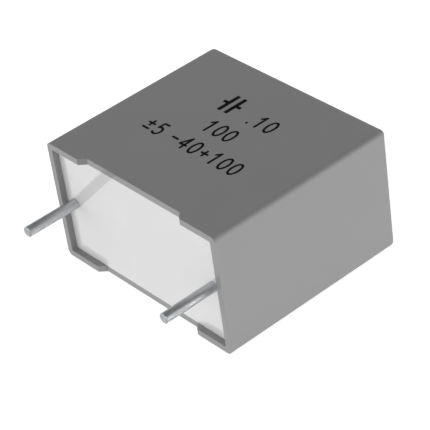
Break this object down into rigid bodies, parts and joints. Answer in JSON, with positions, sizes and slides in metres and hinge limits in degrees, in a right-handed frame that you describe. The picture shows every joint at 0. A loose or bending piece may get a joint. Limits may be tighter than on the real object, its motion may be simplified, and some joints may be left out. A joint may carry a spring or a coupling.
{
  "type": "box film capacitor",
  "caption": "Radial film capacitor in a rectangular moulded plastic box, resin filled, with straight wire leads for through-hole mounting on standing feet.",
  "frame": {"origin": "midway between the two leads, on the seating plane (y = 0) and on the broad face that the part lies on (z = 0)", "axes": "+X from the left lead to the right one, -Y the way the leads point and +Y the closed end, +Z the free broad face"},
  "size_m": [0.018, 0.02, 0.01],
  "materials": {
    "case_plastic": "grey moulded, finely textured",
    "resin": "near-white poured resin, semi-gloss",
    "film": "metallised film, satin",
    "sprayed_metal": "sprayed zinc, rough and matt",
    "tinned_wire": "tinned, semi-bright",
    "marking_ink": "black printed ink"
  },
  "bodies": {
    "root": {"case": "case_plastic", "potting_resin": "resin", "film_roll": "film", "end_spray_left": "sprayed_metal", "end_spray_right": "sprayed_metal", "lead_left": "tinned_wire", "lead_right": "tinned_wire"}
  },
  "joints": []
}
